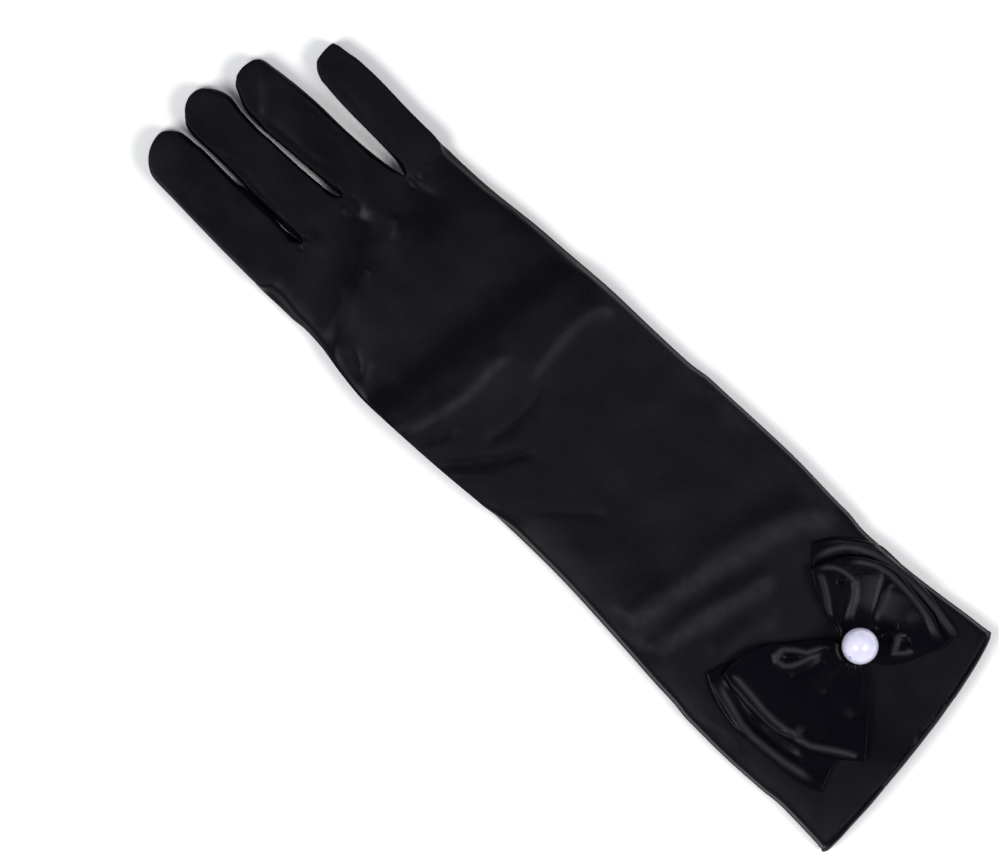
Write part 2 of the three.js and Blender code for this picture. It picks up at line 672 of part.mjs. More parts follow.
// One band of satin sewn into a flat loop and gathered in the middle.
function makeLoop({ columns, left, right }, base, thickness) {
  const band = new Skin();
  const rim = 2 * clothWall + loopSlack + 0.8;
  const sheet = (lobe, sign, step, across, upper) => {
    const inset = 1 - rim / 2 / (sign < 0 ? bowLeftLength : bowRightLength);
    const reach = step / BOW_ROWS;
    const [x, y] = lobePlan(lobe, sign, reach * inset, across);
    const low = base(x, y);
    const high = mix(thickness(x, y), rim, ease(5 * reach - 4));
    return [x, y, upper ? low + high : low];
  };
  const fold = (lobe, sign, step, across) => {
    const [x, y, z] = sheet(lobe, sign, BOW_ROWS, across, false);
    const [endX, endY] = lobePlan(lobe, sign, 1, across);
    const turn = Math.PI * step / (FOLD_STEPS + 1);
    const out = Math.sin(turn);
    return [mix(x, endX, out), mix(y, endY, out), z + rim / 2 * (1 - Math.cos(turn))];
  };
  const rows = Array.from({ length: BOW_ROWS }, (_, i) => i + 1);
  const folds = Array.from({ length: FOLD_STEPS }, (_, i) => i + 1);
  const grid = [];
  const line = (place) => grid.push(Array.from(
    { length: columns + 1 },
    (_, c) => band.point(...place(2 * c / columns - 1)),
  ));
  line((across) => sheet(right, 1, 0, across, true));
  for (const step of rows) line((across) => sheet(right, 1, step, across, true));
  for (const step of folds.toReversed()) line((across) => fold(right, 1, step, across));
  for (const step of rows.toReversed()) line((across) => sheet(right, 1, step, across, false));
  line((across) => sheet(left, -1, 0, across, false));
  for (const step of rows) line((across) => sheet(left, -1, step, across, false));
  for (const step of folds) line((across) => fold(left, -1, step, across));
  for (const step of rows.toReversed()) line((across) => sheet(left, -1, step, across, true));
  grid.push(grid[0]);
  band.fill('loop', grid, true);
  return band.solid('loop', 0);
}

// How high the pearl's middle sits, so that it just clears the pleats that it is sewn down between.
function pearlSeat() {
  const clear = pearlDiameter / 2 + seamGap;
  let seat = 0;
  for (let x = -clear; x <= clear; x += clear / 12) {
    for (let y = -clear; y <= clear; y += clear / 12) {
      const room = clear ** 2 - x ** 2 - y ** 2;
      if (room > 0) seat = Math.max(seat, upperBase(x, y) + upperThickness(x, y) + Math.sqrt(room));
    }
  }
  return seat;
}

// The pearl bead, drilled for its thread, on the gathered middle of the bow.
function makePearl() {
  const bead = toManifold(new THREE.SphereGeometry(pearlDiameter / 2, 16, 12).rotateX(Math.PI / 2));
  const drill = toManifold(new THREE.CylinderGeometry(pearlHole / 2, pearlHole / 2, 2 * pearlDiameter, 8)
    .rotateZ(Math.PI / 2)
    .rotateY(radians(pearlHoleTilt)));
  return fromManifold(bead.subtract(drill));
}

const satin = new THREE.MeshStandardMaterial({ color: 0x1c1b20, roughness: 0.48, metalness: 0 });
const bowSatin = new THREE.MeshStandardMaterial({ color: 0x141417, roughness: 0.34, metalness: 0 });
const pearlFinish = new THREE.MeshStandardMaterial({ color: 0xd9d8ee, roughness: 0.16, metalness: 0 });

function named(name, geometry, material) {
  const mesh = new THREE.Mesh(geometry, material);
  mesh.name = name;
  return mesh;
}

const glove = new THREE.Group();
const mouth = toManifold(mouthCutter());
glove.add(named('back_panel', skin.solid('back_panel'), satin));
glove.add(named('palm_panel', fromManifold(toManifold(skin.solid('palm_panel')).subtract(mouth)), satin));
for (let i = 0; i < crotches.length; i++) {
  const name = `fourchette_${fingers[i].name}_${fingers[i + 1].name}`;
  glove.add(named(name, skin.solid(name, 2 * seamGap), satin));
}
const thumb = toManifold(thumbForm(0)).subtract(toManifold(thumbForm(clothWall))).subtract(mouth);
glove.add(named('thumb', fromManifold(thumb), satin));
glove.add(named('cuff_hem', makeHem(), satin));

const bow = new THREE.Group();
bow.position.set(bowCentre.x, bowCentre.y, 0);
bow.add(named('bow_lower_loop', makeLoop(bowLayers.lower, bowBase, lowerThickness), bowSatin));
bow.add(named('bow_upper_loop', makeLoop(bowLayers.upper, upperBase, upperThickness), bowSatin));
const pearl = named('pearl', makePearl(), pearlFinish);
pearl.position.z = pearlSeat();
bow.add(pearl);
glove.add(bow);

// The origin is under the middle of the whole glove, on the surface that it lies on.
const bounds = new THREE.Box3().setFromObject(glove);
const centre = bounds.getCenter(new THREE.Vector3());
glove.position.set(-centre.x, -centre.y, -bounds.min.z);

export default glove;
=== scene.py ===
import math

import bmesh
import bpy
import numpy as np
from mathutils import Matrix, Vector, noise
from mathutils.bvhtree import BVHTree


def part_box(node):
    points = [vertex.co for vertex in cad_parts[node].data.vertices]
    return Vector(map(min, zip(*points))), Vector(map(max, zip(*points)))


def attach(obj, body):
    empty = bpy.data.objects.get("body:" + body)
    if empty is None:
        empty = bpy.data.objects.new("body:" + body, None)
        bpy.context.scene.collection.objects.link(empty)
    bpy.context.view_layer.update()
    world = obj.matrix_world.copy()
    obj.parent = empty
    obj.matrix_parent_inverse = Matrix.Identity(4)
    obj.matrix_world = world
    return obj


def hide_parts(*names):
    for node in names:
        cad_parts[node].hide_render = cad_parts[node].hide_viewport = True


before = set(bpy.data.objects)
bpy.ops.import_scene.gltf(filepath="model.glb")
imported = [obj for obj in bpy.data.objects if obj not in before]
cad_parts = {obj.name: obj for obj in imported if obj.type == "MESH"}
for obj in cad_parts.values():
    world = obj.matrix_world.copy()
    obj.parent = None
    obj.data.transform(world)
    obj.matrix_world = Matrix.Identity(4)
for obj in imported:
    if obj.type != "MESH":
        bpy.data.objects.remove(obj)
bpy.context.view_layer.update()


# The back of the glove: one piece of black satin for the sleeve, the hand and the tops of the four fingers,
# sewn to the palm along its edges. Each cut piece of cloth is a finer copy of its solid, and its creases are
# worked in as strokes in millimetres that press or lift the cloth along their run.
GRID = np.array([16.25, -12.25])  # the middle of the glove, on the sheet that its creases were measured on


def deselect():
    bpy.ops.object.select_all(action="DESELECT")


def activate(piece):
    deselect()
    piece.select_set(True)
    bpy.context.view_layer.objects.active = piece


def cut_cloth(name, node, levels, close=0.12):
    """A merged copy of a piece's solid as quads, rounded through the solid's own points by subdivision. Its
    cut edges stay crisp, and move out by close millimetres, so that neighbours meet in a hairline seam."""
    same_place = 1e-5  # metres within which points are merged
    flat_pair = math.radians(60)  # the bend up to which two triangles become a quad
    cut_bend = math.radians(55)  # the bend from which an edge is a cut edge
    rim_area = 8e-6  # square metres below which a face between two cut edges is the cloth's thickness
    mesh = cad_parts[node].data.copy()
    piece = bpy.data.objects.new(name, mesh)
    bpy.context.collection.objects.link(piece)
    activate(piece)
    if mesh.has_custom_normals:
        bpy.ops.mesh.customdata_custom_splitnormals_clear()
    mesh.materials.clear()
    bpy.ops.object.mode_set(mode="EDIT")
    bpy.ops.mesh.select_all(action="SELECT")
    bpy.ops.mesh.remove_doubles(threshold=same_place)
    bpy.ops.mesh.tris_convert_to_quads(face_threshold=flat_pair, shape_threshold=flat_pair)
    bpy.ops.object.mode_set(mode="OBJECT")
    form = bmesh.new()
    form.from_mesh(mesh)
    creases = form.edges.layers.float.new("crease_edge")
    sharp = {edge for edge in form.edges if edge.calc_face_angle(0) > cut_bend}
    for edge in sharp:
        edge[creases] = 1.0
    moves = {}
    for face in form.faces:
        if sum(edge in sharp for edge in face.edges) >= 2 and face.calc_area() < rim_area:
            for point in face.verts:
                moves.setdefault(point, []).append(face.normal.copy())
    for point, normals in moves.items():
        out = sum(normals, Vector())
        if out.length > 0:
            point.co += out.normalized() * close / 1000
    form.to_mesh(mesh)
    form.free()
    smooth(piece, levels)
    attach(piece, "root")
    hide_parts(node)
    return piece


def smooth(piece, levels):
    """Subdivides a piece so that its surface passes through the points that it started from."""
    corrections = 4
    activate(piece)
    rounding = piece.modifiers.new("rounding", "SUBSURF")
    rounding.levels = rounding.render_levels = levels
    aim = places(piece)
    points = aim.copy()
    for _ in range(corrections):
        put(piece, points)
        shown = piece.evaluated_get(bpy.context.evaluated_depsgraph_get())
        reached = np.empty(len(shown.data.vertices) * 3)
        shown.data.vertices.foreach_get("co", reached)
        points += aim - reached.reshape(-1, 3)[: len(aim)] * 1000
    put(piece, points)
    bpy.ops.object.modifier_apply(modifier=rounding.name)
    bpy.ops.object.shade_smooth()


def places(piece):
    """A piece's points in millimetres."""
    flat = np.empty(len(piece.data.vertices) * 3)
    piece.data.vertices.foreach_get("co", flat)
    return flat.reshape(-1, 3) * 1000


def put(piece, xyz):
    piece.data.vertices.foreach_set("co", (xyz / 1000).ravel())
    piece.data.update()


def refine(piece, facing):
    """Splits the faces that look the given way once more, for the finest creases."""
    edge_on = 0.05  # the share of a face's normal below which it counts as seen edge-on
    activate(piece)
    bpy.ops.object.mode_set(mode="EDIT")
    bpy.ops.mesh.select_mode(type="FACE")
    bpy.ops.mesh.select_all(action="DESELECT")
    bpy.ops.object.mode_set(mode="OBJECT")
    for face in piece.data.polygons:
        face.select = face.normal.dot(facing) > edge_on
    bpy.ops.object.mode_set(mode="EDIT")
    bpy.ops.mesh.subdivide(number_cuts=1, smoothness=1.0)
    bpy.ops.object.mode_set(mode="OBJECT")
    bpy.ops.object.shade_smooth()


def ramp(low, high, value):
    """0 at low and 1 at high, smooth between them and level beyond."""
    t = np.clip((value - low) / (high - low), 0, 1)
    return t * t * (3 - 2 * t)


def stroke(xy, points, left, right, rise, fade=None):
    """How far one crease lifts the cloth: points are its run on the sheet, left and right its half widths on
    either side of the run, in millimetres, rise its height, and fade the share of it that dies away at each
    end, which is 6.5 mm or 0.3 of a short run if none is given."""
    run = np.array(points, float)
    lengths = np.linalg.norm(np.diff(run, axis=0), axis=1)
    total = lengths.sum()
    if fade is None:
        fade = min(0.3, 6.5 / total)
    nearest = np.full(len(xy), 1e9)
    along = np.zeros(len(xy))
    half = np.full(len(xy), float(left))
    before = 0.0
    for start, end, length in zip(run[:-1], run[1:], lengths):
        way = (end - start) / length
        t = np.clip((xy - start) @ way / length, 0, 1)
        off = xy - start - (t * length)[:, None] * way
        away = np.linalg.norm(off, axis=1)
        side = np.where(way[0] * off[:, 1] - way[1] * off[:, 0] > 0, left, right)
        closer = away < nearest
        nearest = np.where(closer, away, nearest)
        half = np.where(closer, side, half)
        along = np.where(closer, (before + t * length) / total, along)
        before += length
    ends = ramp(0, fade, along) * ramp(0, fade, 1 - along) if fade else 1.0
    return rise * ends * np.exp(-((nearest / half) ** 2))


def roll(xyz, scale, seed):
    """Smooth, even noise from -1 to 1 over the cloth, its waves scale millimetres long."""
    offset = Vector((seed * 7.3, seed * 3.1, seed * 5.7))
    return np.array([noise.noise(Vector(p) / scale + offset) for p in xyz]) * 2


def brush(piece, taut_and_painted_highlight):
    """Keeps how the satin lies at each point: below 0 it is taut and glossy, above 0 a highlight is painted
    into its colour.
    """
    tautest = -1.4
    strongest_painted_highlight = 1.2
    lie = piece.data.attributes.new("taut_and_painted_highlight", "FLOAT", "POINT")
    lie.data.foreach_set("value", np.clip(taut_and_painted_highlight, tautest, strongest_painted_highlight).astype(np.float32))


def gather(xyz, centre, reach, depth, seed):
    """The puckered pit where a finger's seam ends: a ring-shaped furrow round a small crumpled knot. reach
    is its half width in millimetres, and depth the furrow's mean depth."""
    away = xyz[:, :2] + GRID - np.array(centre)
    distance = np.linalg.norm(away * (1, 1.15), axis=1) / reach
    angle = np.arctan2(away[:, 1], away[:, 0])
    # the furrow runs round at 0.8 of the reach with three slight bulges, and the knot fills the middle 0.6
    furrow = np.exp(-(((distance - 0.8 - 0.12 * np.sin(3 * angle + seed)) / 0.3) ** 2))
    knot = np.exp(-((distance / 0.6) ** 4))
    crumple = 0.5 + 1.1 * roll(xyz, 1.6, seed)
    ripple = 1 + 0.5 * np.sin(5 * angle + seed)
    return depth * (knot * crumple - furrow * ripple)


def nudge(xyz):
    """Moves the edges of the fingers and the sleeve to where they lie, by up to 1.6 millimetres."""
    xy = xyz[:, :2] + GRID
    for points, half, x, y in (
        # each move: its run, its half width, and how far it goes in x and in y
        ([(-18, 146), (-19, 110), (-20, 76)], 4.0, -0.8, 0),
        ([(15.5, 122), (15.5, 98)], 3.0, 0.8, 0),
        ([(22.6, 124), (22.6, 96)], 3.0, -1.4, 0),
        ([(46, 122), (46, 90)], 3.0, -1.2, 0),
        ([(55, 118), (54, 84)], 3.4, 0.8, 0),
        ([(-1.2, 136), (-1.6, 118), (-1.4, 104)], 2.0, 0.7, 0),
        ([(-0.6, 117), (-1.2, 108), (-2, 97)], 1.5, 0.85, 0),
        ([(1.6, 117), (1.1, 108), (0.3, 97)], 1.0, -0.5, 0),
        ([(20.5, 142), (23, 146)], 5.0, 1.5, -0.6),
        ([(24, 149), (34, 149)], 5.0, 0, -1.6),
        ([(57, -40), (57, -72), (56, -104)], 5.0, 1.1, 0),
        ([(-26, -112), (-26, -146)], 5.0, -0.8, 0),
    ):
        share = stroke(xy, points, half, half, 1.0, 0)
        xyz[:, 0] += share * x
        xyz[:, 1] += share * y


def press(xyz, low, high, firm):
    """Presses rounded cloth flatter: its shoulders between the heights low and high stand up towards high,
    and the larger firm is, the squarer they get."""
    part = np.clip((xyz[:, 2] - low) / (high - low), 0, 1)
    return (high - low) * (1 - (1 - part) ** firm - part)


def square(piece, xyz, out):
    """Pushes the shoulders of the flat tube outwards by up to out millimetres, for steeper sides."""
    facing = np.empty(len(xyz) * 3)
    piece.data.vertices.foreach_get("normal", facing)
    facing = facing.reshape(-1, 3)
    outward = facing[:, :2] / np.maximum(np.linalg.norm(facing[:, :2], axis=1), 0.2)[:, None]
    # all of it where the cloth slopes, none where it stands upright, lies level or is near the table
    slope = ramp(0.05, 0.6, facing[:, 2]) * ramp(1.0, 0.86, facing[:, 2])
    share = slope * ramp(4.2, 6.5, xyz[:, 2])
    xyz[:, :2] += outward * share[:, None] * out


def to_the_hem(xyz, cloth):
    """The cloth runs on over the hem, which shows as a lip a little over a millimetre wide. cloth is false
    for the hem itself."""
    across = (-29.3, 0, 22, 40, 50, 62.5)
    mouth = (-175.3, -174.8, -173.8, -171, -169.2, -166.3)  # the cuff's edge at those places
    up = xyz[:, 1] + GRID[1] - np.interp(xyz[:, 0] + GRID[0], across, mouth)
    if cloth:
        xyz[:, 1] -= 1.5 * ramp(24, 3.4, up)  # the lowest 24 mm are drawn down
    else:
        xyz[:, 1] -= np.clip(up, 0, 5) * 0.5  # the hem is squeezed to half its width


back = cut_cloth("glove_back", "back_panel", 2)
refine(back, Vector((0, 0, 1)))
xyz = places(back)
square(back, xyz, 0.7)
nudge(xyz)
to_the_hem(xyz, True)
xy = xyz[:, :2] + GRID
lift = np.zeros(len(xyz))
# how high the flat back lies from the cuff to the fingers, where its shoulders start and how firm they are
roof_places = (-175, -120, -70, -30, -5, 70, 84, 94)
roof = np.interp(xy[:, 1], roof_places, (11.6, 11.0, 10.7, 10.2, 10.2, 10.2, 9.2, 8.6))
shoulder = np.interp(xy[:, 1], (70, 92), (3.0, 3.9))
firm = np.interp(xy[:, 1], (70, 92), (3.0, 4.5))
lift += press(xyz, shoulder, roof, firm)
lift -= 0.94 * np.maximum(xyz[:, 2] - roof, 0)  # the rise over the folded thumb is mostly pressed out
for points, left, right, rise, *fade in (
    # each crease: its run, its half widths on the left and the right, its rise, and its fade if it has one
    # the folds across the knuckles
    ([(-21, 79), (-10, 83), (0, 88), (8, 90)], 3.0, 3.2, 0.5),
    ([(-26, 60), (-16, 63.5), (-8, 67), (2, 72), (13, 78.5), (23, 85)], 4.4, 4.8, -0.7),
    ([(22.5, 67.5), (29, 75)], 1.9, 1.7, 0.5),
    ([(-6, 47), (14, 51), (30, 52), (57, 53), (72, 53)], 12.0, 12.0, 0.9, 0.3),
    ([(8, 68.2), (9.4, 66.8)], 0.8, 0.8, 0.2),
    # the creases that run out of the crotch beside the little finger
    ([(41, 79.5), (47, 77), (55, 71.5)], 1.6, 2.4, 0.12),
    ([(41, 77.5), (48, 74), (56, 68)], 1.6, 2.0, -0.14),
    # the tuck at the thumb's edge
    ([(-25, 60.5), (-17, 57), (-14, 54)], 2.8, 3.2, 0.25),
    ([(-12.5, 55), (-14, 52), (-16, 48), (-21, 43.5)], 1.5, 1.8, -0.4),
    ([(-24, 40.5), (-14.5, 45.5), (-10, 47), (-4, 48)], 2.4, 3.0, 0.25),
    # the broad fold across the hand, and the ridges under it
    ([(-44, 34), (-25, 29.5), (-16, 26), (-8, 24.5), (3, 22.6), (14, 20.6), (25, 18.6), (35, 17.4),
      (46, 16.6), (59, 16.5), (78, 16)], 8.5, 24.0, 2.3),
    ([(-32, 27), (-21.5, 23), (-10.2, 20), (-1, 17.4), (6.2, 16.9), (12.7, 17.2),
      (21, 16)], 4.0, 2.8, 0.95),
    ([(16.5, 6.4), (25.8, 5.8), (34, 6.6), (41.5, 6.4), (48.5, 5.2), (58, -1)], 4.6, 2.3, 0.7),
    ([(-23, 17), (-17.5, 13.2), (-12.5, 11), (-8, 10)], 1.5, 1.4, -0.5),
    ([(-9, 1.2), (0.3, -2.2), (6.7, -3.2), (16, -2.8), (22, 0)], 2.4, 2.4, -0.3),
    ([(-24, 7.4), (-15.3, -0.8), (-7.6, -7.2), (-1.8, -11), (4, -14.4)], 1.7, 1.9, -0.6),
    ([(-23, 2), (-17, -5), (-10, -12.5)], 1.6, 1.4, 0.35),
    ([(-20, -19), (-12.9, -26), (-4.3, -36.2), (5.2, -47.8)], 1.6, 1.8, -0.35),
    # the waves above the bow, and the sleeve sunk a little under it
    ([(-22, -74), (-8, -77.5), (4, -78.5), (18, -80.5), (32, -84), (46, -91), (55, -99)], 5.0, 4.2, 1.4),
    ([(-24, -86.5), (-10, -88.6), (2, -91), (14, -95), (28, -99.6)], 4.2, 3.6, 1.2),
    ([(-10, -102), (6, -105.5), (18, -111)], 3.4, 3.0, 0.6),
    ([(-26, -112), (-22.5, -124), (-22, -136)], 2.6, 2.6, 0.4),
    ([(-20, -138), (20, -139), (62, -140)], 26.0, 24.0, -1.5),
    # the long sheen near the ring finger's tip
    ([(22, 127), (29, 133.5), (35.5, 139)], 1.5, 1.2, 0.4),
):
    lift += stroke(xy, points, left, right, rise, *fade)
for centre, reach, depth, seed in (
    ((0.7, 90), 2.4, 0.25, 3),
    ((20, 86.3), 4.2, 0.09, 5),
    ((40.4, 77), 2.4, 0.28, 8),
):
    lift += gather(xyz, centre, reach, depth, seed)
for run, rise in (
    # the uneven furrows that the seams draw along the fingers
    ([(1.9, 137), (4.0, 127), (4.1, 120), (3.4, 114), (2.7, 107), (1.4, 98)], -0.09),
    ([(22.5, 130), (23, 112), (24.5, 96)], -0.1),
    ([(35, 130), (35.6, 112), (36.2, 92)], -0.12),
    ([(48, 122), (46, 106), (44.5, 88)], -0.08),
):
    edge = stroke(xy, run, 1.3, 1.1, rise, 0.2)
    lift += edge * (1 + 0.7 * roll(xyz, 3.2, 11))
lift += 0.22 * roll(xyz, 27, 1) + 0.1 * roll(xyz, 8, 2)  # nothing lies quite flat
xyz[:, 2] += lift * ramp(3.2, 6.0, xyz[:, 2])  # the edges near the table stay where they are
put(back, xyz)
# how the satin lies, and where highlights are painted into its colour: a little taut on all fingers but the
# little one, and then run by run
taut_and_painted_highlight = -0.45 * ramp(84, 104, xy[:, 1]) * ramp(44, 36, xy[:, 0])
for points, left, right, shine in (
    # each: its run, its half widths on the left and the right, and below 0 how taut it is, above 0 how
    # strong the highlight painted there is
    # pulled taut along the knuckles, in the broad fold across the hand, and by the bow
    ([(-30, 54), (-17, 60.3), (-9.8, 63.5), (-0.2, 67.9), (13, 75.7), (21, 81), (26, 86)], 4.4, 4.8, -1.3),
    ([(-34, 43), (-22.5, 36.6), (-16.8, 33.4), (-8, 31.6), (3.2, 30.3), (13.7, 28.8), (24.3, 27.2),
      (34.8, 25.6), (45.4, 24), (57, 22)], 5.4, 5.6, -1.3),
    ([(29, 74), (31, 64), (28, 57)], 6.5, 6.5, -0.9),
    ([(30, 62), (44, 66), (57, 69)], 7.0, 7.0, -0.9),
    ([(34, -150), (21, -152), (11, -160), (2, -172)], 14.0, 14.0, -1.0),
    ([(20.5, 85.5), (18.5, 83)], 4.0, 4.0, -0.25),
    ([(-9, 0.4), (0.3, -2.6), (6.7, -3.6), (15.6, -3.2), (21, 0)], 1.8, 2.2, -0.8),
    ([(-24, 7.4), (-15.3, -0.8), (-7.6, -7.2), (-1.8, -11), (4, -14.4)], 1.4, 1.6, -0.8),
    ([(-22, 16.4), (-17.5, 13.4), (-12.5, 11), (-9, 10)], 1.2, 1.4, -0.7),
    ([(41, 78), (48, 74.6), (57, 68.6)], 1.3, 1.3, -0.6),
    ([(-12.9, 54), (-14.8, 50), (-17.4, 46.4), (-21, 43.8)], 1.1, 1.1, -0.9),
    # painted highlights along the ridges under the fold, the waves above the bow, the tuck and the little
    # finger's side
    ([(-24, 22), (-17.5, 19.9), (-10.2, 17.6), (-0.9, 15.2), (6.2, 14.8), (12.7, 15.2),
      (22, 13)], 1.5, 1.4, 0.8),
    ([(17, 3.4), (25.8, 3.5), (34.1, 4.2), (41.2, 4.1), (48.2, 3.2), (57, -2.5)], 1.5, 1.4, 0.45),
    ([(-22, -76), (0, -80.6), (17, -86), (24, -88), (36, -90.6), (45, -95), (56, -104)], 3.4, 3.4, 0.75),
    ([(-22, -89), (-10, -91), (3, -94), (14, -98), (27, -102.4)], 2.7, 2.7, 0.75),
    ([(-20, 57.4), (-15.6, 55.6), (-17, 52.6)], 1.6, 1.6, 0.5),
    ([(-21, 41), (-15.5, 44.4), (-11, 46)], 1.2, 1.2, 0.5),
    ([(22.6, 69), (25, 71), (28, 72.4)], 1.2, 1.2, 0.6),
    ([(23, 127.4), (29, 133), (34, 138)], 0.9, 0.9, 0.6),
    ([(62, 14), (60, -20), (58.5, -60), (57, -106)], 6.0, 6.0, 0.4),
):
    taut_and_painted_highlight += stroke(xy, points, left, right, shine)
on_top = ramp(roof - 1.3, roof - 0.4, xyz[:, 2])  # a taut slope at the edge would glare
# the taut runs keep to the flat top, and the painted highlights are made uneven by noise
taut_and_painted_highlight = np.where(taut_and_painted_highlight < 0, taut_and_painted_highlight * on_top, taut_and_painted_highlight * (1 + 0.3 * roll(xyz, 2.6, 6)))
brush(back, taut_and_painted_highlight + 0.16 * roll(xyz, 14, 9))


class Value:
    """A shader socket that can be used in sums."""

    def __init__(self, tree, socket):
        self.tree = tree
        self.socket = socket

    def worked(self, operation, other):
        return self.tree.node("ShaderNodeMath", {"operation": operation}, {0: self, 1: other})

    def __add__(self, other):
        return self.worked("ADD", other)

    __radd__ = __add__

    def __mul__(self, other):
        return self.worked("MULTIPLY", other)

    __rmul__ = __mul__


class Finish:
    """A material: node() adds a node with its settings and the values or links of its sockets, and gives
    back one of its outputs."""

    def __init__(self, name):
        self.material = bpy.data.materials.new(name)
        self.material.use_nodes = True
        self.nodes = self.material.node_tree.nodes
        self.links = self.material.node_tree.links
        self.nodes.clear()

    def node(self, kind, settings=None, inputs=None, output=0):
        node = self.nodes.new(kind)
        for key, value in (settings or {}).items():
            if key == "stops":
                for element, (position, colour) in zip(node.color_ramp.elements, value):
                    element.position = position
                    element.color = colour
            else:
                setattr(node, key, value)
        for key, value in (inputs or {}).items():
            if isinstance(value, Value):
                self.links.new(value.socket, node.inputs[key])
            else:
                node.inputs[key].default_value = value
        return Value(self, node.outputs[output]) if node.outputs else None

    def wear(self, *pieces):
        for piece in pieces:
            piece.data.materials.clear()
            piece.data.materials.append(self.material)


def satin(name, shade, painted_highlight, gloss, sheen, weave, grain):
    """Black satin: a fine slanted weave, uneven threads and a soft grain over a dim, broad gloss, glossier
    where the cloth is taut, with highlights painted into its colour along the ridges. shade is its colour,
    pale the colour of the painted highlight at full strength, gloss its mean roughness, sheen how much it
    reflects, and weave and grain how far those two stand out."""
    cloth = Finish(name)
    place = cloth.node("ShaderNodeTexCoord", output=3)

    def stretched(x, y, z, turn=0.0):
        return cloth.node("ShaderNodeMapping", {}, {0: place, 2: (0, 0, turn), 3: (x, y, z)})

    twill_slant = math.radians(24)
    twill = cloth.node(
        "ShaderNodeTexWave",
        {"wave_type": "BANDS", "bands_direction": "X", "wave_profile": "SIN"},
        {
            0: stretched(1, 1, 1, twill_slant),
            "Scale": 560,
            "Distortion": 1.2,
            "Detail": 1,
            "Detail Scale": 2.0,
        },
        output=1,
    )

    def uneven(where, scale, detail, rough):
        inputs = {0: where, "Scale": scale, "Detail": detail, "Roughness": rough}
        return cloth.node("ShaderNodeTexNoise", {}, inputs)

    threads = uneven(stretched(1, 0.14, 1), 2600, 2, 0.6)
    cross = uneven(stretched(0.14, 1, 1), 1900, 2, 0.6)
    fuzz = uneven(place, 900, 3, 0.65)
    clouds = uneven(place, 38, 4, 0.55)
    height = threads * 0.35 + cross * 0.25 + twill * weave + fuzz * grain
    bump = cloth.node("ShaderNodeBump", {}, {"Strength": 0.42, "Distance": 0.00012, "Height": height})
    light = [part * 1.35 for part in shade]
    dark = [part * 0.72 for part in shade]
    tone = cloth.node(
        "ShaderNodeValToRGB",
        {"stops": ((0.3, (*dark, 1)), (0.7, (*light, 1)))},
        {0: fuzz * 0.6 + clouds * 0.4},
    )
    # a point attribute from brush(): below 0 the cloth is glossier, and above 0 a highlight is painted into
    # its colour
    taut_and_painted_highlight = cloth.node("ShaderNodeAttribute", {"attribute_name": "taut_and_painted_highlight"}, output=2)
    taut = taut_and_painted_highlight.worked("MINIMUM", 0.0)
    soft = taut_and_painted_highlight.worked("MAXIMUM", 0.0)
    # the base colour: the tone plus the painted highlight
    shine = cloth.node("ShaderNodeVectorMath", {"operation": "MULTIPLY_ADD"}, {0: soft, 1: painted_highlight, 2: tone})
    mottle = 0.12  # what the clouds and the fuzz add to the roughness on average
    rough = clouds * 0.14 + fuzz * 0.1 + taut * 0.19 + soft * 0.06 + (gloss - mottle)
    surface = cloth.node(
        "ShaderNodeBsdfPrincipled",
        {},
        {
            "Base Color": shine,
            "Roughness": rough,
            "Normal": bump,
            "IOR": 1.5,
            "Specular IOR Level": sheen,
        },
    )
    cloth.node("ShaderNodeOutputMaterial", {}, {0: surface})
    return cloth


glove_satin = satin(
    "black_satin",
    shade=(0.0030, 0.0027, 0.0044),
    # the colour of the highlight painted along the glove's ridges, at full strength
    painted_highlight=(0.010, 0.0097, 0.0118),
    gloss=0.44,
    sheen=0.059,
    weave=0.18,
    grain=0.5,
)
glove_satin.wear(back)


# The palm and the undersides of the fingers: one piece of the same satin, sewn to the back round its edges.
# It is flat where the glove lies on it and raised over the folded thumb, with an oval hole for the thumb.
palm = cut_cloth("glove_palm", "palm_panel", 2)
xyz = places(palm)
nudge(xyz)
to_the_hem(xyz, True)
lift = 0.22 * roll(xyz, 22, 4) + 0.1 * roll(xyz, 7, 5)
xyz[:, 2] += lift * ramp(0.6, 3.0, xyz[:, 2])
put(palm, xyz)
glove_satin.wear(palm)


# The fourchettes: narrow strips of the same satin between the fingers. Each is folded round its crotch and
# sewn to the back and to the palm along its long edges.
for between in ("index_middle", "middle_ring", "ring_little"):
    strip = cut_cloth("side_strip_" + between, "fourchette_" + between, 3, close=0.26)
    xyz = places(strip)
    nudge(xyz)
    put(strip, xyz)
    glove_satin.wear(strip)


# The thumb, hidden from above: a plain pouch of the same satin, folded flat under the palm and sewn into
# the palm's oval hole.
thumb = cut_cloth("glove_thumb", "thumb", 2)
glove_satin.wear(thumb)


# The cuff's hem: the satin turned in twice round the mouth, sewn and pressed. Its colour is painted a little
# lighter than the cloth beside it, a painted highlight for the light its rounded edge catches, and it
# reflects more.
hem = cut_cloth("turned_hem", "cuff_hem", 2, close=0.28)
xyz = places(hem)
nudge(xyz)
to_the_hem(xyz, False)
xyz[:, 1] += 0.12 * roll(xyz, 9, 8)
put(hem, xyz)
hem_satin_painted_lighter = satin(
    "hem_satin_painted_lighter",
    # a little lighter than the glove's satin: a painted highlight
    shade=(0.0045, 0.0042, 0.0058),
    painted_highlight=(0, 0, 0),
    gloss=0.45,
    sheen=0.12,
    weave=0.18,
    grain=0.5,
)
hem_satin_painted_lighter.wear(hem)


# The bow: two flat loops of glossier satin ribbon, one on the other, sewn down in the middle. Each loop has
# a lobe on either side, whose top sheet comes from the gathers under the pearl, turns in a soft fold at its
# far end and runs back underneath. It lies on the sleeve and stands up a little round its gathered middle.
KNOT = np.array([27.5, -135.8])  # the gathered middle, under the pearl, on the same sheet


